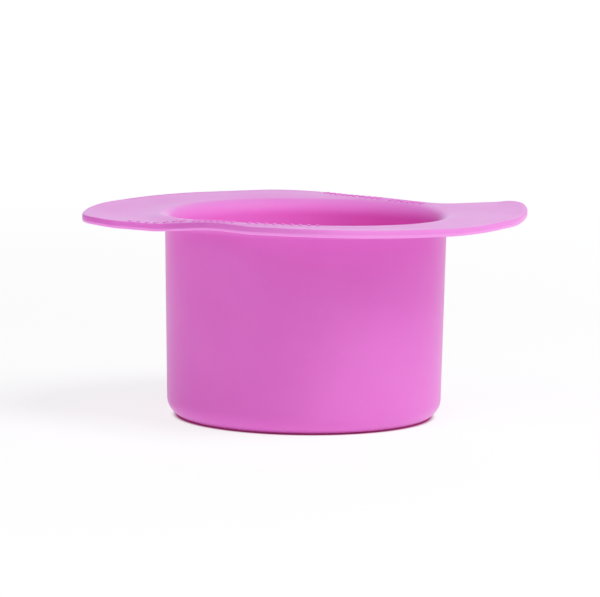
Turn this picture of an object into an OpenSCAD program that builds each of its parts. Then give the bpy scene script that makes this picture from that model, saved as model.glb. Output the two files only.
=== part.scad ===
// Wax warmer pot: a one-piece moulded silicone bowl that drops into a wax
// warmer. A thin flange rounds over the lip of the bowl and spreads into two
// grip wings, set half a turn apart, for lifting the hot pot out.
// The moulding is divided here into its working regions, which meet face to
// face: floor, wall, lip, rim ring, two grip wings and two rows of raised ribs.
// Frame: millimetres, +Z up, origin on the table under the bowl's axis.

/* [Bowl] */
// Height of the flange top above the table, at the lip
pot_h = 76; // [60:1:100]
// Outer radius of the bowl at its top, just under the flange
bowl_r = 52.4; // [46:0.1:54]
// How much smaller that radius is at the base (mould draft)
draft = 1.3; // [0.2:0.1:2]
// Thickness of the silicone in the wall and the flange
skin = 2.9; // [2.2:0.1:3.2]
// Thickness of the floor
floor_t = 3.2; // [2.4:0.1:5]
// Radius of the outside corner between wall and base
base_corner_r = 7; // [3:0.5:8]
// Radius of the inside corner between wall and floor
inner_corner_r = 3; // [2:0.5:3.5]
// Radius of the lip where the flange rounds down into the bowl
lip_r = 5.8; // [5:0.1:7]

/* [Flange] */
// Outward rise of the flange, in degrees
flange_rise = 3; // [0.5:0.1:3.5]
// Outer radius of the plain rim ring round the lip
ring_r = 60; // [60:0.1:60.8]
// Radius of the big outer arc of each wing
wing_r = 78; // [77:0.5:80]
// Half of the span from wing tip to wing tip
half_span = 82.7; // [82.2:0.1:84]
// How far each wing tip reaches past the middle line
wing_reach = 35; // [34.5:0.5:37]
// Corner radius of the wing tips
tip_r = 18; // [12:0.5:18]
// Radius of the hollow curve between a wing tip and the next shoulder
notch_r = 12; // [8:1:18]
// Radius of the shoulder where a wing springs from the rim ring
shoulder_r = 28; // [20:1:30]

/* [Ribs] */
// Height of the raised ribs
rib_h = 0.6; // [0.3:0.1:1.2]
// Width of one rib
rib_w = 1.3; // [0.8:0.1:1.6]
// Length of one rib, end to end
rib_len = 3.2; // [2.4:0.2:4]
// Distance from one rib to the next
rib_pitch = 3.1; // [2.8:0.1:4]
// Distance from the flange edge to the middle of the ribs
rib_inset = 3.4; // [2.8:0.2:4.4]

/* [Hidden] */
$fn = 96;

pink = [0.86, 0.45, 0.80];
pink_light = [0.90, 0.55, 0.85];

// ---- section through the moulding -------------------------------------------
// The lip and the fillet under it share one centre, cen, because the skin keeps
// its thickness round the bend.
under_r = lip_r - skin;
cen = [bowl_r + under_r, pot_h - lip_r];
// lean of the wall, from vertical
lean = atan(draft / cen[1]);
// unit normals: out of the wall, and up out of the flange
wall_n = [cos(lean), -sin(lean)];
flange_n = [-sin(flange_rise), cos(flange_rise)];

// where the lip's bend starts on the wall, outside and inside, and where it ends
// on the flange, below and above
p_out = cen - under_r * wall_n;
p_in = cen - lip_r * wall_n;
q_under = cen + under_r * flange_n;
q_top = cen + lip_r * flange_n;

// height of the flange top, and of its underside, at a radius
function top_z(r) = q_top[1] + (r - q_top[0]) * tan(flange_rise);
function under_z(r) = q_under[1] + (r - q_under[0]) * tan(flange_rise);

// radius of the outer and the inner wall face at a height
function outer_r(z) = p_out[0] - (p_out[1] - z) * tan(lean);
function inner_r(z) = p_in[0] - (p_in[1] - z) * tan(lean);

// centre radius of a corner arc of radius r that touches the wall and stands on
// the level z
function corner_x(r, z, wall_radius_at_z) = wall_radius_at_z - r * (1 - sin(lean)) / cos(lean);

// radius at which the lip's bend ends and the flange top is straight
flat_from = q_top[0] + 0.4;

// where floor and wall meet, above both corners
wall_from = max(floor_t + inner_corner_r, base_corner_r);

// ---- outline of the flange, seen from above ----------------------------------
// One half of the outline, from the end of the right wing's big arc, round the
// wing tip and the hollow to the shoulder. The other half is the same, turned
// by half a turn.
arc_c = [half_span - wing_r, 7];
arc_from = -62;
side_run = 97;
edge_run = 164;
slope_run = 137;
arc_end = arc_from + 180;

function unit(a) = [cos(a), sin(a)];
function rot(p, a) = [p[0] * cos(a) - p[1] * sin(a), p[0] * sin(a) + p[1] * cos(a)];
// crossing of the line through p in direction a with the line through q in direction b
function cross_at(p, a, q, b) =
    let (d = q - p, k = (d[0] * sin(b) - d[1] * cos(b)) / (cos(a) * sin(b) - sin(a) * cos(b)))
    p + k * unit(a);
// points of an arc
function arc(c, r, a0, a1, n) = [for (i = [0:n]) c + r * unit(a0 + (a1 - a0) * i / n)];
// an arc of radius r that turns from heading a to heading b at the corner v;
// left turns are convex here, right turns are hollow
function turn(v, a, b, r, n) =
    let (s = b > a ? 1 : -1, t = r * tan(abs(b - a) / 2),
         c = v - t * unit(a) + s * r * unit(a + 90))
    arc(c, r, a - s * 90, b - s * 90, n);

tip_v = cross_at(arc_c + wing_r * unit(side_run - 90), side_run, [half_span - tip_r, wing_reach], edge_run);
// the hollow is set so that its inner side just reaches the rim ring
notch_v = [50, 35];
edge_dir = atan2(notch_v[1] - tip_v[1], notch_v[0] - tip_v[0]);
// the shoulder joins the opposite wing's big arc
arc_start = rot(arc_c + wing_r * unit(arc_from), 180);
shoulder_v = cross_at(notch_v, slope_run, arc_start, arc_end + 90);
slope_dir = atan2(shoulder_v[1] - notch_v[1], shoulder_v[0] - notch_v[0]);

half_outline = concat(
    arc(arc_c, wing_r, arc_from, side_run - 90, 36),
    turn(tip_v, side_run, edge_dir, tip_r, 12),
    turn(notch_v, edge_dir, slope_dir, notch_r, 12),
    turn(shoulder_v, slope_dir, arc_end + 90, shoulder_r, 16));
outline = concat(half_outline, [for (p = half_outline) -p]);

// ---- places along the hollow edge, measured from the wing tip ----------------
// each place is a point on the edge and the heading of the edge there
function seg(i, pts) = norm(pts[i + 1] - pts[i]);
function along(pts, s, i = 0) = s <= seg(i, pts) || i >= len(pts) - 2
    ? let (d = (pts[i + 1] - pts[i]) / seg(i, pts)) [pts[i] + s * d, atan2(d[1], d[0])]
    : along(pts, s - seg(i, pts), i + 1);
edge_path = concat(
    turn(tip_v, side_run, edge_dir, tip_r, 12),
    turn(notch_v, edge_dir, slope_dir, notch_r, 12),
    turn(shoulder_v, slope_dir, arc_end + 90, shoulder_r, 16));

// middle of a rib and the direction of its long axis, beside the hollow edge
function rib_by_edge(s) = let (at = along(edge_path, s)) [at[0] + rib_inset * unit(at[1] + 90), at[1] + 90];
// the same, but past turn_at the row leaves the edge and follows the lip
turn_at = 66;
lip_row = rib_by_edge(turn_at)[0];
function rib_by_lip(s) = s <= turn_at
    ? rib_by_edge(s)
    : let (a = atan2(lip_row[1], lip_row[0]) + (s - turn_at) / norm(lip_row) * 180 / PI) [norm(lip_row) * unit(a), a];

// ---- sections -----------------------------------------------------------------
module box2(x0, y0, x1, y1) { translate([x0, y0]) square([x1 - x0, y1 - y0]); }

// everything inside the outer face of the bowl
module outer_section() {
    cx = corner_x(base_corner_r, 0, outer_r(0));
    touch = [cx, base_corner_r] + base_corner_r * wall_n;
    polygon([[0, 0], [cx, 0], [cx, base_corner_r], touch, [outer_r(pot_h), pot_h], [0, pot_h]]);
    translate([cx, base_corner_r]) circle(r = base_corner_r);
}

// the hollow of the bowl
module inner_section() {
    cx = corner_x(inner_corner_r, floor_t, inner_r(floor_t));
    touch = [cx, floor_t + inner_corner_r] + inner_corner_r * wall_n;
    top = pot_h + 10;
    polygon([[0, floor_t], [cx, floor_t], [cx, floor_t + inner_corner_r], touch, [inner_r(top), top], [0, top]]);
    translate([cx, floor_t + inner_corner_r]) circle(r = inner_corner_r);
}

module bowl_section() {
    difference() {
        outer_section();
        inner_section();
    }
}

// the flange plate between two radii
module plate_section(r0, r1) {
    polygon([[r0, under_z(r0)], [r1, under_z(r1)], [r1, top_z(r1)], [r0, top_z(r0)]]);
}

// the bend over the lip: a ring of constant thickness, cut to the turn between
// the wall and the flange
module lip_section() {
    far = 4 * lip_r;
    intersection() {
        translate(cen) difference() {
            circle(r = lip_r);
            circle(r = under_r);
        }
        polygon([cen, cen - far * wall_n, cen + far * (flange_n - wall_n), cen + far * flange_n]);
    }
}

// ---- regions of the moulding --------------------------------------------------
module pot_floor() {
    color(pink) rotate_extrude($fn = 180) intersection() {
        bowl_section();
        box2(0, 0, bowl_r + 10, wall_from);
    }
}

// the plain tapered wall, up to where the lip's bend starts
module pot_wall() {
    color(pink) rotate_extrude($fn = 180)
        polygon([[outer_r(wall_from), wall_from], p_out, p_in, [inner_r(wall_from), wall_from]]);
}

module rolled_lip() {
    color(pink) rotate_extrude($fn = 180) lip_section();
}

// the plain ring round the lip
module rim_ring() {
    color(pink_light) rotate_extrude($fn = 180)
        polygon([q_under, [ring_r, under_z(ring_r)], [ring_r, top_z(ring_r)], q_top]);
}

// one wing on the +X side; the -X wing is the same, turned half a turn
module wing() {
    intersection() {
        rotate_extrude($fn = 180) plate_section(ring_r, half_span + 20);
        translate([0, 0, pot_h - 15]) linear_extrude(height = 30) intersection() {
            polygon(outline);
            // this wing's side of a line that crosses the plain ring between the two wings
            rotate([0, 0, -43]) translate([0, -120]) square([120, 240]);
        }
    }
}

module left_grip_wing() {
    color(pink_light) rotate([0, 0, 180]) wing();
}

module right_grip_wing() {
    color(pink_light) wing();
}

// a row of ribs standing on the flange top: each place is a point and the direction
// of the rib's long axis
module rib_row(places) {
    intersection() {
        rotate_extrude($fn = 180)
            polygon([[flat_from, top_z(flat_from)], [half_span + 20, top_z(half_span + 20)],
                     [half_span + 20, top_z(half_span + 20) + rib_h], [flat_from, top_z(flat_from) + rib_h]]);
        translate([0, 0, pot_h - 10]) linear_extrude(height = 20)
            for (at = places) translate(at[0]) rotate([0, 0, at[1]]) {
                translate([-(rib_len - rib_w) / 2, -rib_w / 2]) square([rib_len - rib_w, rib_w]);
                for (e = [-1, 1]) translate([e * (rib_len - rib_w) / 2, 0]) circle(d = rib_w, $fn = 24);
            }
    }
}

// front left: beside the hollow edge, then round the lip
module left_rim_ribs() {
    color(pink) rotate([0, 0, 180])
        rib_row([for (i = [0:24]) if (i != 7 && i != 15) rib_by_lip(26 + i * rib_pitch)]);
}

// back right: beside the hollow edge all the way
module right_rim_ribs() {
    color(pink) rib_row([for (i = [0:16]) if (i != 6) rib_by_edge(45 + i * rib_pitch)]);
}

pot_floor();
pot_wall();
rolled_lip();
rim_ring();
left_grip_wing();
right_grip_wing();
left_rim_ribs();
right_rim_ribs();
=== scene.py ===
import math

import bmesh
import bpy
from mathutils import Matrix, Vector


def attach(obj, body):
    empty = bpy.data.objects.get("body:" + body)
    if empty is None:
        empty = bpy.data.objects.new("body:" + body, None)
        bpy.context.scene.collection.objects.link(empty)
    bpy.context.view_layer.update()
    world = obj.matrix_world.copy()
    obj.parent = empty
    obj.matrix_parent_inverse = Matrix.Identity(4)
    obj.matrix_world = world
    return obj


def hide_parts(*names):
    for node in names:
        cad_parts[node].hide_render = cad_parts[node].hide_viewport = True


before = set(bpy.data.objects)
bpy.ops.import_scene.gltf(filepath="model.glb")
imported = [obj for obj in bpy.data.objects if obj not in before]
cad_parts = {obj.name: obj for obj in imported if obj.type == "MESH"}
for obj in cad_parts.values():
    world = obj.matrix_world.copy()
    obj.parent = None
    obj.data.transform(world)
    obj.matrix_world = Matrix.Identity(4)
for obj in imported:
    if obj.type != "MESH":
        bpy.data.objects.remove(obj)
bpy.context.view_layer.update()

MM = 0.001

# ---------------------------------------------------------------------------
# The pot's own sizes, in millimetres, the same as the CAD part's
# ---------------------------------------------------------------------------
POT_H = 76.0          # flange top at the lip
BOWL_R = 52.4         # outer radius just under the flange
DRAFT = 1.3           # radius lost from there down to the base
SKIN = 2.9            # thickness of wall and flange
FLOOR_T = 3.2
BASE_CORNER_R = 7.0
INNER_CORNER_R = 3.0
LIP_R = 5.8
RISE = 3.0            # outward rise of the flange, degrees

HALF_SPAN = 82.7
WING_R = 78.0
WING_REACH = 35.0
TIP_R = 18.0
NOTCH_R = 12.0
SHOULDER_R = 28.0
NOTCH_V = (50.0, 35.0)
ARC_C = (HALF_SPAN - WING_R, 7.0)
ARC_FROM = -62.0
SIDE_RUN = 97.0
EDGE_RUN = 164.0
SLOPE_RUN = 137.0

EDGE_TOP_R = 0.75     # how far the flange's edges are rounded
EDGE_LOW_R = 0.85

RIB_H, RIB_W, RIB_LEN, RIB_PITCH, RIB_INSET = 0.36, 1.3, 3.2, 3.1, 3.4


def rad(a):
    return math.radians(a)


def smooth(t):
    t = min(1.0, max(0.0, t))
    return t * t * (3 - 2 * t)


# ---------------------------------------------------------------------------
# Section facts: the lip and the fillet under it share one centre
# ---------------------------------------------------------------------------
UNDER_R = LIP_R - SKIN
CEN = (BOWL_R + UNDER_R, POT_H - LIP_R)
LEAN = math.atan(DRAFT / CEN[1])
FLAT_TOP = (CEN[0] - LIP_R * math.sin(rad(RISE)), CEN[1] + LIP_R * math.cos(rad(RISE)))
FLAT_LOW = (CEN[0] - UNDER_R * math.sin(rad(RISE)), CEN[1] + UNDER_R * math.cos(rad(RISE)))


def top_z(r):
    return FLAT_TOP[1] + (r - FLAT_TOP[0]) * math.tan(rad(RISE))


def low_z(r):
    return FLAT_LOW[1] + (r - FLAT_LOW[0]) * math.tan(rad(RISE))


def outer_r(z):
    x = CEN[0] - UNDER_R * math.cos(LEAN)
    y = CEN[1] + UNDER_R * math.sin(LEAN)
    return x - (y - z) * math.tan(LEAN)


def inner_r(z):
    x = CEN[0] - LIP_R * math.cos(LEAN)
    y = CEN[1] + LIP_R * math.sin(LEAN)
    return x - (y - z) * math.tan(LEAN)


# ---------------------------------------------------------------------------
# Outline of the flange: tangent arcs and straight runs, twofold about Z
# ---------------------------------------------------------------------------
def arc_pts(c, r, a0, a1, n):
    return [(c[0] + r * math.cos(rad(a0 + (a1 - a0) * i / n)),
             c[1] + r * math.sin(rad(a0 + (a1 - a0) * i / n))) for i in range(n + 1)]


def crossing(p, a, q, b):
    ca, sa, cb, sb = math.cos(rad(a)), math.sin(rad(a)), math.cos(rad(b)), math.sin(rad(b))
    dx, dy = q[0] - p[0], q[1] - p[1]
    k = (dx * sb - dy * cb) / (ca * sb - sa * cb)
    return (p[0] + k * ca, p[1] + k * sa)


def turn_pts(v, a, b, r, n):
    s = 1 if b > a else -1
    t = r * math.tan(rad(abs(b - a) / 2))
    c = (v[0] - t * math.cos(rad(a)) + s * r * math.cos(rad(a + 90)),
         v[1] - t * math.sin(rad(a)) + s * r * math.sin(rad(a + 90)))
    return arc_pts(c, r, a - s * 90, b - s * 90, n)


def heading(p, q):
    return math.degrees(math.atan2(q[1] - p[1], q[0] - p[0]))


SIDE_END = (ARC_C[0] + WING_R * math.cos(rad(SIDE_RUN - 90)), ARC_C[1] + WING_R * math.sin(rad(SIDE_RUN - 90)))
TIP_V = crossing(SIDE_END, SIDE_RUN, (HALF_SPAN - TIP_R, WING_REACH), EDGE_RUN)
EDGE_DIR = heading(TIP_V, NOTCH_V)
END_A = ARC_FROM + 180
ARC_START = (-(ARC_C[0] + WING_R * math.cos(rad(ARC_FROM))), -(ARC_C[1] + WING_R * math.sin(rad(ARC_FROM))))
SHOULDER_V = crossing(NOTCH_V, SLOPE_RUN, ARC_START, END_A + 90)
SLOPE_DIR = heading(NOTCH_V, SHOULDER_V)

EDGE_PATH = (turn_pts(TIP_V, SIDE_RUN, EDGE_DIR, TIP_R, 40)
             + turn_pts(NOTCH_V, EDGE_DIR, SLOPE_DIR, NOTCH_R, 40)
             + turn_pts(SHOULDER_V, SLOPE_DIR, END_A + 90, SHOULDER_R, 48))
HALF = arc_pts(ARC_C, WING_R, ARC_FROM, SIDE_RUN - 90, 160) + EDGE_PATH


def tidy(pts):
    out = []
    for p in pts:
        if not out or math.hypot(p[0] - out[-1][0], p[1] - out[-1][1]) > 1e-6:
            out.append(p)
    return out


def resample(pts, count):
    """count points evenly spaced along the closed line pts, with their outward normals."""
    ring = tidy(pts + [(-x, -y) for x, y in pts])
    if math.hypot(ring[0][0] - ring[-1][0], ring[0][1] - ring[-1][1]) < 1e-6:
        ring.pop()
    n = len(ring)
    length = [math.hypot(ring[(i + 1) % n][0] - ring[i][0], ring[(i + 1) % n][1] - ring[i][1]) for i in range(n)]
    total = sum(length)
    out, i, gone = [], 0, 0.0
    for k in range(count):
        s = total * k / count
        while s - gone > length[i]:
            gone += length[i]
            i += 1
        f = (s - gone) / length[i]
        a, b = ring[i], ring[(i + 1) % n]
        out.append((a[0] + f * (b[0] - a[0]), a[1] + f * (b[1] - a[1])))
    normals = []
    for k in range(count):
        a, b = out[k - 1], out[(k + 1) % count]
        dx, dy = b[0] - a[0], b[1] - a[1]
        d = math.hypot(dx, dy)
        normals.append((dy / d, -dx / d))
    return out, normals


COLUMNS = 560
OUT_P, OUT_N = resample(HALF, COLUMNS)


def sag(x, y):
    """The flange is soft: the left wing droops a little, the right one lifts, and the front and back lie lower at
    the corners. It grows from nothing at the lip. The lip itself stands a millimetre proud at the front left."""
    u, v = x / 80, y / 60
    r = math.hypot(x, y)
    warp = (-0.119 * (x * x - y * y) / 2500 + 0.022 * 2 * x * y / 2500 + 0.48 * u + 0.30 * v
            + 0.74 * u ** 3 - 0.42 * v ** 3 + 0.93 * u * u * v - 1.38 * u * v * v)
    warp -= 0.6 * (1 - y / 83) * math.exp(-((x + 57) / 16) ** 2)
    warp += 0.5 * smooth((-x - 68) / 12) - 0.28 * smooth((x - 42) / 14)
    warp += (0.65 * math.exp(-((x - 31) / 16) ** 2) + 0.25 * math.exp(-((x + 5) / 24) ** 2)) * smooth(y / 35)
    warp -= 0.75 * math.exp(-((x + 47) / 9) ** 2) * smooth(-y / 25)
    warp += 0.6 * smooth((x - 71) / 7) * min(1.0, max(-0.8, y / 25))
    proud = max(0.0, -y / r) * (0.90 - 0.75 * x / r) * (1 - smooth((r - 57) / 9))
    return warp * smooth((r - 50) / 12) + proud


# ---------------------------------------------------------------------------
# The pot: one seamless moulding
# ---------------------------------------------------------------------------
def section_rings():
    """Rings of the moulding from the middle of the underside, up the outside, over the flange and down to the
    middle of the floor. Each ring is ("round", r, z), or ("low", t), ("edge", d, place, dz), ("top", t)."""
    rings = []
    cx = outer_r(0) - BASE_CORNER_R * (1 - math.sin(LEAN)) / math.cos(LEAN)
    for r in (3.0, 9.0, 16.0, 23.0, 30.0, 36.0, 41.0, cx - 0.5):
        rings.append(("round", r, 0.0))
    lean_deg = math.degrees(LEAN)
    n = 14
    for i in range(n + 1):
        a = rad(-90 + (90 - lean_deg) * i / n)
        rings.append(("round", cx + BASE_CORNER_R * math.cos(a), BASE_CORNER_R + BASE_CORNER_R * math.sin(a)))
    z0 = rings[-1][2]
    z1 = CEN[1] + UNDER_R * math.sin(LEAN)
    steps = [z0 + 0.4] + [z0 + 0.4 + (z1 - z0 - 0.8) * i / 18 for i in range(1, 18)] + [z1 - 0.4]
    for z in steps:
        rings.append(("round", outer_r(z), z))
    n = 10
    for i in range(n + 1):
        a = rad(180 - lean_deg + (90 + RISE - 180 + lean_deg) * i / n)
        rings.append(("round", CEN[0] + UNDER_R * math.cos(a), CEN[1] + UNDER_R * math.sin(a)))
    for t in (0.06, 0.16, 0.28, 0.40, 0.52, 0.64, 0.76, 0.87, 0.95):
        rings.append(("low", t))
    n = 5
    for i in range(n + 1):
        a = rad(90 * i / n)
        rings.append(("edge", EDGE_LOW_R * (1 - math.sin(a)), "low", EDGE_LOW_R * (1 - math.cos(a))))
    rings.append(("side", 0.33))
    rings.append(("side", 0.67))
    n = 6
    for i in range(n + 1):
        a = rad(90 - 90 * i / n)
        rings.append(("edge", EDGE_TOP_R * (1 - math.sin(a)), "top", -EDGE_TOP_R * (1 - math.cos(a))))
    for t in (0.96, 0.90, 0.80, 0.70, 0.60, 0.50, 0.40, 0.30, 0.20, 0.11, 0.04):
        rings.append(("top", t))
    n = 22
    for i in range(n + 1):
        a = rad(90 + RISE + (90 - RISE - lean_deg) * i / n)
        rings.append(("round", CEN[0] + LIP_R * math.cos(a), CEN[1] + LIP_R * math.sin(a)))
    ci = inner_r(FLOOR_T) - INNER_CORNER_R * (1 - math.sin(LEAN)) / math.cos(LEAN)
    z1 = rings[-1][2]
    z0 = FLOOR_T + INNER_CORNER_R * (1 - math.sin(LEAN))
    steps = [z1 - 0.4] + [z1 - 0.4 - (z1 - z0 - 0.8) * i / 18 for i in range(1, 18)] + [z0 + 0.4]
    for z in steps:
        rings.append(("round", inner_r(z), z))
    n = 9
    for i in range(n + 1):
        a = rad(-lean_deg - (90 - lean_deg) * i / n)
        rings.append(("round", ci + INNER_CORNER_R * math.cos(a), FLOOR_T + INNER_CORNER_R + INNER_CORNER_R * math.sin(a)))
    for r in (ci - 0.5, 42.0, 38.0, 32.0, 25.0, 18.0, 11.0, 4.0):
        rings.append(("round", r, FLOOR_T))
    return rings


def column_point(kind, k):
    """Where ring kind meets column k, in millimetres."""
    p, nrm = OUT_P[k], OUT_N[k]
    inset_top = (p[0] - nrm[0] * EDGE_TOP_R, p[1] - nrm[1] * EDGE_TOP_R)
    inset_low = (p[0] - nrm[0] * EDGE_LOW_R, p[1] - nrm[1] * EDGE_LOW_R)
    a_top = math.atan2(inset_top[1], inset_top[0])
    if kind[0] == "round":
        x, y, z = kind[1] * math.cos(a_top), kind[1] * math.sin(a_top), kind[2]
    elif kind[0] in ("low", "top"):
        far = inset_low if kind[0] == "low" else inset_top
        near_r = FLAT_LOW[0] if kind[0] == "low" else FLAT_TOP[0]
        near = (near_r * math.cos(a_top), near_r * math.sin(a_top))
        x = near[0] + kind[1] * (far[0] - near[0])
        y = near[1] + kind[1] * (far[1] - near[1])
        z = (low_z if kind[0] == "low" else top_z)(math.hypot(x, y))
    elif kind[0] == "edge":
        x, y = p[0] - nrm[0] * kind[1], p[1] - nrm[1] * kind[1]
        z = (low_z if kind[2] == "low" else top_z)(math.hypot(x, y)) + kind[3]
    else:
        x, y = p
        r = math.hypot(x, y)
        z0, z1 = low_z(r) + EDGE_LOW_R, top_z(r) - EDGE_TOP_R
        z = z0 + kind[1] * (z1 - z0)
    if z > 50:
        z += sag(x, y) * smooth((z - 50) / 22)
    return (x, y, z)


def flange_edge_painted_light(kind, k):
    """How much painted light the flange's edge gets, 0 to 1: a full painted highlight along the thin lower edge, and
    a little painted light all over the edge on the side of the main lamps."""
    if kind[0] == "edge" and kind[2] == "low":
        return 1.0
    if kind[0] == "side" or (kind[0] == "edge" and kind[2] == "top"):
        return 0.45 * smooth((OUT_P[k][0] + 45) / 42)
    return 0.0


def build_pot():
    rings = section_rings()
    bm = bmesh.new()
    grid = []
    painted_pale_light = bm.verts.layers.float.new("painted_pale_light")
    painted_bowl_light = bm.verts.layers.float.new("painted_bowl_light")
    over_lip = False
    for kind in rings:
        row = [bm.verts.new([c * MM for c in column_point(kind, k)]) for k in range(COLUMNS)]
        over_lip = over_lip or kind[0] == "top"
        for k, v in enumerate(row):
            v[painted_pale_light] = flange_edge_painted_light(kind, k)
            # painted light: the inside of the bowl is painted lighter from the lip's bend down, and the bend itself
            # gets a painted highlight
            if over_lip and kind[0] == "round":
                v[painted_bowl_light] = smooth((FLAT_TOP[0] - 2.0 - kind[1]) / 3.8)
                v[painted_pale_light] = 0.45 * math.sin(math.pi * min(1.0, max(0.0, (FLAT_TOP[0] - kind[1]) / LIP_R)))
        grid.append(row)
    low_pole = bm.verts.new((0, 0, 0))
    top_pole = bm.verts.new((0, 0, FLOOR_T * MM))
    top_pole[painted_bowl_light] = 1.0
    for j in range(len(grid) - 1):
        a, b = grid[j], grid[j + 1]
        for k in range(COLUMNS):
            m = (k + 1) % COLUMNS
            bm.faces.new((a[k], a[m], b[m], b[k]))
    for k in range(COLUMNS):
        m = (k + 1) % COLUMNS
        bm.faces.new((low_pole, grid[0][m], grid[0][k]))
        bm.faces.new((top_pole, grid[-1][k], grid[-1][m]))
    bmesh.ops.recalc_face_normals(bm, faces=bm.faces)
    mesh = bpy.data.meshes.new("silicone_pot")
    bm.to_mesh(mesh)
    bm.free()
    for f in mesh.polygons:
        f.use_smooth = True
    obj = bpy.data.objects.new("silicone_pot", mesh)
    bpy.context.scene.collection.objects.link(obj)
    return obj


# ---------------------------------------------------------------------------
# Raised ribs: two rows of small rounded bars along the hollow edges
# ---------------------------------------------------------------------------
def along(pts, s):
    for i in range(len(pts) - 1):
        d = math.hypot(pts[i + 1][0] - pts[i][0], pts[i + 1][1] - pts[i][1])
        if s <= d or i == len(pts) - 2:
            u = ((pts[i + 1][0] - pts[i][0]) / d, (pts[i + 1][1] - pts[i][1]) / d)
            return (pts[i][0] + s * u[0], pts[i][1] + s * u[1]), math.atan2(u[1], u[0])
        s -= d
    return None


def rib_place(s, round_lip):
    """Middle of a rib and the direction of its long axis, beside the hollow edge, or past TURN_AT round the lip."""
    def by_edge(d):
        at, way = along(EDGE, d)
        return (at[0] - RIB_INSET * math.sin(way), at[1] + RIB_INSET * math.cos(way)), way + math.pi / 2
    if s <= TURN_AT or not round_lip:
        return by_edge(s)
    (x, y), _ = by_edge(TURN_AT)
    r, a = math.hypot(x, y), math.atan2(y, x)
    a += (s - TURN_AT) / r
    return (r * math.cos(a), r * math.sin(a)), a


EDGE = tidy(EDGE_PATH)
TURN_AT = 66.0


def build_ribs(name, first, count, gaps, round_lip, half_turn):
    bm = bmesh.new()
    painted_pale_light = bm.verts.layers.float.new("painted_pale_light")
    for i in range(count):
        if i in gaps:
            continue
        (mx, my), axis = rib_place(first + i * RIB_PITCH, round_lip)
        ux, uy = math.cos(axis), math.sin(axis)
        vx, vy = -uy, ux
        loops = []
        half_l, half_w = (RIB_LEN - RIB_W) / 2, RIB_W / 2
        crown = 0.34
        levels = [(0.0, -0.25), (0.0, RIB_H - crown)]
        levels += [(crown * (1 - math.cos(rad(a))), RIB_H - crown + crown * math.sin(rad(a))) for a in (25, 50, 72, 90)]
        for inset, h in levels:
            loop = []
            for e in (1, -1):
                for q in range(9):
                    a = rad(-90 + 180 * q / 8) + (0 if e > 0 else math.pi)
                    lx = e * half_l + (half_w - inset) * math.cos(a)
                    ly = (half_w - inset) * math.sin(a)
                    x = mx + ux * lx + vx * ly
                    y = my + uy * lx + vy * ly
                    if half_turn:
                        x, y = -x, -y
                    r = math.hypot(x, y)
                    z = top_z(r) + sag(x, y) + h
                    v = bm.verts.new((x * MM, y * MM, z * MM))
                    # painted light: the ribs are painted a little paler all over
                    v[painted_pale_light] = 0.22
                    loop.append(v)
            loops.append(loop)
        n = len(loops[0])
        for a, b in zip(loops, loops[1:]):
            for k in range(n):
                m = (k + 1) % n
                bm.faces.new((a[k], a[m], b[m], b[k]))
        bm.faces.new(loops[-1])
        bm.faces.new(list(reversed(loops[0])))
    bmesh.ops.recalc_face_normals(bm, faces=bm.faces)
    mesh = bpy.data.meshes.new(name)
    bm.to_mesh(mesh)
    bm.free()
    for f in mesh.polygons:
        f.use_smooth = True
    obj = bpy.data.objects.new(name, mesh)
    bpy.context.scene.collection.objects.link(obj)
    return obj


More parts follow.
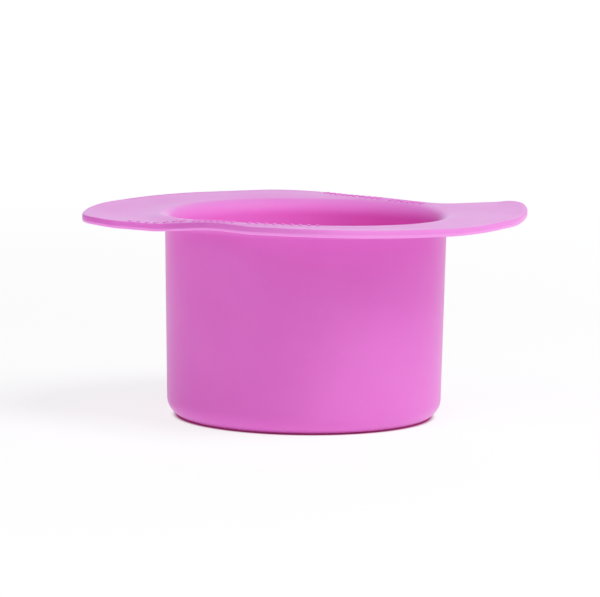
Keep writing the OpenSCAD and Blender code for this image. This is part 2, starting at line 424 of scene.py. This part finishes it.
# ---------------------------------------------------------------------------
# Materials
# ---------------------------------------------------------------------------
def silicone():
    mat = bpy.data.materials.new("silicone_orchid")
    mat.use_nodes = True
    nt = mat.node_tree
    nodes, links = nt.nodes, nt.links
    nodes.clear()
    out = nodes.new("ShaderNodeOutputMaterial")
    bsdf = nodes.new("ShaderNodeBsdfPrincipled")
    links.new(bsdf.outputs["BSDF"], out.inputs["Surface"])
    coord = nodes.new("ShaderNodeTexCoord")

    # pigment: a very soft mottle, a few centimetres across
    pig = nodes.new("ShaderNodeTexNoise")
    pig.inputs["Scale"].default_value = 28.0
    pig.inputs["Detail"].default_value = 3.0
    pig.inputs["Roughness"].default_value = 0.5
    links.new(coord.outputs["Object"], pig.inputs["Vector"])
    ramp = nodes.new("ShaderNodeValToRGB")
    ramp.color_ramp.elements[0].position = 0.30
    ramp.color_ramp.elements[0].color = (0.700, 0.112, 0.525, 1)
    ramp.color_ramp.elements[1].position = 0.72
    ramp.color_ramp.elements[1].color = (0.745, 0.130, 0.567, 1)
    links.new(pig.outputs["Fac"], ramp.inputs["Fac"])
    # painted light, standing in for light carried in the silicone: a lighter, more saturated colour deep in the bowl,
    # and a lighter, paler colour along the flange's edge, over the lip's bend and on the ribs
    colour = ramp.outputs["Color"]
    for layer, rgb in (("painted_bowl_light", (0.92, 0.138, 0.65, 1)), ("painted_pale_light", (0.92, 0.23, 0.76, 1))):
        attr = nodes.new("ShaderNodeAttribute")
        attr.attribute_name = layer
        mix = nodes.new("ShaderNodeMix")
        mix.data_type = "RGBA"
        mix.inputs[7].default_value = rgb
        links.new(attr.outputs["Fac"], mix.inputs[0])
        links.new(colour, mix.inputs[6])
        colour = mix.outputs[2]
    links.new(colour, bsdf.inputs["Base Color"])

    # satin skin: roughness drifts slightly, as on a moulding that has been handled
    sm = nodes.new("ShaderNodeTexNoise")
    sm.inputs["Scale"].default_value = 60.0
    sm.inputs["Detail"].default_value = 4.0
    links.new(coord.outputs["Object"], sm.inputs["Vector"])
    mr = nodes.new("ShaderNodeMapRange")
    mr.inputs["From Min"].default_value = 0.3
    mr.inputs["From Max"].default_value = 0.7
    mr.inputs["To Min"].default_value = 0.37
    mr.inputs["To Max"].default_value = 0.43
    links.new(sm.outputs["Fac"], mr.inputs["Value"])
    links.new(mr.outputs["Result"], bsdf.inputs["Roughness"])

    # the mould's fine matt grain and a slow unevenness of the skin
    grain = nodes.new("ShaderNodeTexNoise")
    grain.inputs["Scale"].default_value = 3200.0
    grain.inputs["Detail"].default_value = 2.0
    links.new(coord.outputs["Object"], grain.inputs["Vector"])
    b1 = nodes.new("ShaderNodeBump")
    b1.inputs["Strength"].default_value = 0.10
    b1.inputs["Distance"].default_value = 0.00006
    links.new(grain.outputs["Fac"], b1.inputs["Height"])
    slow = nodes.new("ShaderNodeTexNoise")
    slow.inputs["Scale"].default_value = 90.0
    slow.inputs["Detail"].default_value = 2.0
    links.new(coord.outputs["Object"], slow.inputs["Vector"])
    b2 = nodes.new("ShaderNodeBump")
    b2.inputs["Strength"].default_value = 0.15
    b2.inputs["Distance"].default_value = 0.0003
    links.new(slow.outputs["Fac"], b2.inputs["Height"])
    links.new(b1.outputs["Normal"], b2.inputs["Normal"])
    links.new(b2.outputs["Normal"], bsdf.inputs["Normal"])

    bsdf.inputs["IOR"].default_value = 1.43
    bsdf.inputs["Specular IOR Level"].default_value = 0.06
    bsdf.inputs["Sheen Weight"].default_value = 0.20
    bsdf.inputs["Sheen Tint"].default_value = (0.72, 0.90, 1.0, 1)
    bsdf.inputs["Sheen Roughness"].default_value = 0.3
    bsdf.inputs["Subsurface Weight"].default_value = 0.25
    bsdf.inputs["Subsurface Radius"].default_value = (1.0, 0.35, 0.8)
    bsdf.inputs["Subsurface Scale"].default_value = 0.0012
    return mat


def floor_material():
    mat = bpy.data.materials.new("studio_floor")
    mat.use_nodes = True
    nt = mat.node_tree
    nodes, links = nt.nodes, nt.links
    nodes.clear()
    out = nodes.new("ShaderNodeOutputMaterial")
    diff = nodes.new("ShaderNodeBsdfDiffuse")
    emit = nodes.new("ShaderNodeEmission")
    emit.inputs["Color"].default_value = (1, 1, 1, 1)
    add = nodes.new("ShaderNodeAddShader")
    coord = nodes.new("ShaderNodeTexCoord")
    sep = nodes.new("ShaderNodeSeparateXYZ")
    links.new(coord.outputs["Object"], sep.inputs["Vector"])
    dist = nodes.new("ShaderNodeVectorMath")
    dist.operation = "LENGTH"
    links.new(coord.outputs["Object"], dist.inputs[0])
    # painted contact shadow: the table's colour turns magenta, a painted shade with painted pink bounce light in it, a
    # few millimetres wide, where the pot's rounded corner leaves the table
    shade = nodes.new("ShaderNodeValToRGB")
    shade.color_ramp.elements[0].color = (0.50, 0.06, 0.26, 1)
    shade.color_ramp.elements[1].color = (0.42, 0.42, 0.42, 1)
    place = nodes.new("ShaderNodeMapRange")
    place.inputs["From Min"].default_value = 0.0468
    place.inputs["From Max"].default_value = 0.0492
    links.new(dist.outputs["Value"], place.inputs["Value"])
    links.new(place.outputs["Result"], shade.inputs["Fac"])
    links.new(shade.outputs["Color"], diff.inputs["Color"])
    total = None
    for start, end, before, after in FLOOR_GLOW:
        lit = nodes.new("ShaderNodeMapRange")
        lit.interpolation_type = "SMOOTHSTEP"
        lit.inputs["From Min"].default_value = start
        lit.inputs["From Max"].default_value = end
        lit.inputs["To Min"].default_value = before
        lit.inputs["To Max"].default_value = after
        links.new(dist.outputs["Value"], lit.inputs["Value"])
        if total is None:
            total = lit.outputs["Result"]
        else:
            plus = nodes.new("ShaderNodeMath")
            plus.operation = "ADD"
            links.new(total, plus.inputs[0])
            links.new(lit.outputs["Result"], plus.inputs[1])
            total = plus.outputs["Value"]
    links.new(total, emit.inputs["Strength"])
    # painted pink glow: the table gives off a faint pink light in the contact shade, standing in for light carried in
    # the silicone
    pink_glow_ramp = nodes.new("ShaderNodeValToRGB")
    pink_glow_ramp.color_ramp.elements[0].color = (0.07, 0.010, 0.036, 1)
    pink_glow_ramp.color_ramp.elements[1].color = (0, 0, 0, 1)
    links.new(place.outputs["Result"], pink_glow_ramp.inputs["Fac"])
    pink = nodes.new("ShaderNodeEmission")
    links.new(pink_glow_ramp.outputs["Color"], pink.inputs["Color"])
    lit_floor = nodes.new("ShaderNodeAddShader")
    links.new(emit.outputs["Emission"], lit_floor.inputs[0])
    links.new(pink.outputs["Emission"], lit_floor.inputs[1])
    links.new(diff.outputs["BSDF"], add.inputs[0])
    links.new(lit_floor.outputs["Shader"], add.inputs[1])
    # seen from below, the table isn't there, so the underside of the pot can be looked at
    geo = nodes.new("ShaderNodeNewGeometry")
    clear = nodes.new("ShaderNodeBsdfTransparent")
    mix = nodes.new("ShaderNodeMixShader")
    links.new(geo.outputs["Backfacing"], mix.inputs["Fac"])
    links.new(add.outputs["Shader"], mix.inputs[1])
    links.new(clear.outputs["BSDF"], mix.inputs[2])
    links.new(mix.outputs["Shader"], out.inputs["Surface"])
    return mat


# the table glows a little, like a light table, and more with distance, so that it stays white where the lamps fall
# off: start and end of each step, in metres, and the glow before and after it. The steps add up. The first one is
# under the flat base.
FLOOR_GLOW = ((0.0425, 0.0440, 0.5, 0), (0.0472, 0.0500, 0, 0.66), (0.15, 1.2, 0, 0.20), (1.0, 4.0, 0, 0.33))
WORLD = 0.06


# ---------------------------------------------------------------------------
# Pieces
# ---------------------------------------------------------------------------
skin_mat = silicone()
pot = build_pot()
ribs_l = build_ribs("rib_row_front_left", 26, 25, (7, 15), True, True)
ribs_r = build_ribs("rib_row_back_right", 45, 17, (6,), False, False)
for piece in (pot, ribs_l, ribs_r):
    piece.data.materials.append(skin_mat)
    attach(piece, "root")
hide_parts("pot_floor", "pot_wall", "rolled_lip", "rim_ring", "left_grip_wing", "right_grip_wing")
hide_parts("left_rim_ribs")
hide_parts("right_rim_ribs")

# ---------------------------------------------------------------------------
# Stage
# ---------------------------------------------------------------------------
bm = bmesh.new()
S = 9.0
n = 12
vs = [[bm.verts.new((-S + 2 * S * i / n, -S + 2 * S * j / n, -0.00003)) for j in range(n + 1)] for i in range(n + 1)]
for i in range(n):
    for j in range(n):
        bm.faces.new((vs[i][j], vs[i + 1][j], vs[i + 1][j + 1], vs[i][j + 1]))
me = bpy.data.meshes.new("floor")
bm.to_mesh(me)
bm.free()
floor = bpy.data.objects.new("floor", me)
bpy.context.scene.collection.objects.link(floor)
me.materials.append(floor_material())

world = bpy.data.worlds.new("studio")
bpy.context.scene.world = world
world.use_nodes = True
wn, wl = world.node_tree.nodes, world.node_tree.links
wn.clear()
wo = wn.new("ShaderNodeOutputWorld")
bg = wn.new("ShaderNodeBackground")
bg.inputs["Color"].default_value = (0.80, 0.84, 1, 1)
bg.inputs["Strength"].default_value = WORLD
wl.new(bg.outputs["Background"], wo.inputs["Surface"])


def area(name, loc, target, size, power, colour=(1, 1, 1)):
    lamp = bpy.data.lights.new(name, "AREA")
    lamp.shape = "RECTANGLE"
    lamp.size, lamp.size_y = size
    lamp.energy = power
    lamp.color = colour
    ob = bpy.data.objects.new(name, lamp)
    ob.location = loc
    ob.rotation_mode = "QUATERNION"
    ob.rotation_quaternion = (Vector(target) - Vector(loc)).to_track_quat("-Z", "Y")
    bpy.context.scene.collection.objects.link(ob)
    return ob


def softbox(name, azimuth, elevation, power, away=1.8, colour=(1, 1, 1)):
    """A square softbox. Azimuth 0 is the camera's side, and + is to its right. Size and power grow with the
    distance, so that the pot gets the same light from it."""
    a, e, k = rad(azimuth), rad(elevation), away / 1.8
    loc = (away * math.sin(a) * math.cos(e), -away * math.cos(a) * math.cos(e), away * math.sin(e))
    return area(name, loc, (0, 0, 0.04), (0.9 * k, 0.9 * k), power * k * k, colour)


COOL = (0.72, 0.74, 1.0)
softbox("key_high", 60, 60, 15.8)
softbox("key_side", 57, 45, 4.2)
softbox("right_side", 85, 25, 5.2)
softbox("fill_high", -25, 50, 4.4)
softbox("fill_left", -60, 35, 0.7)
softbox("rim_left", -90, 15, 0.8)
softbox("back_low", 180, 12, 4.9, 5.2, COOL)
softbox("back_high", 180, 35, 2.4, 5.2, COOL)

# ---------------------------------------------------------------------------
# Camera: long lens, a little above the flange
# ---------------------------------------------------------------------------
D, HC = 1300.0, 206.52
PITCH, YAW, ROLL = rad(7.137), rad(-0.082), rad(0.647)
F_PX = 3511.9
fw = Vector((math.sin(YAW) * math.cos(PITCH), math.cos(YAW) * math.cos(PITCH), -math.sin(PITCH)))
rt = Vector((math.cos(YAW), -math.sin(YAW), 0))
up = rt.cross(fw)
rt2 = rt * math.cos(ROLL) + up * math.sin(ROLL)
up2 = -rt * math.sin(ROLL) + up * math.cos(ROLL)
cam_data = bpy.data.cameras.new("camera")
cam = bpy.data.objects.new("camera", cam_data)
bpy.context.scene.collection.objects.link(cam)
cam.matrix_world = Matrix((
    (rt2.x, up2.x, -fw.x, 0.0),
    (rt2.y, up2.y, -fw.y, -D * MM),
    (rt2.z, up2.z, -fw.z, HC * MM),
    (0, 0, 0, 1)))
cam_data.sensor_fit = "HORIZONTAL"
cam_data.sensor_width = 36.0
cam_data.lens = F_PX * 36.0 / 600.0
cam_data.clip_start = 0.01
cam_data.clip_end = 60.0
bpy.context.scene.camera = cam

scene = bpy.context.scene
scene.view_settings.view_transform = "Standard"
scene.view_settings.look = "None"
scene.view_settings.exposure = 0.0
scene.view_settings.gamma = 1.0
# a soft shoulder, 2x / (1 + x), as a studio camera's tone curve has
scene.view_settings.use_curve_mapping = True
tone = scene.view_settings.curve_mapping
combined = tone.curves[3]
for i in range(1, 12):
    x = (i / 12) ** 1.6
    combined.points.new(x, 2 * x / (1 + x))
tone.update()
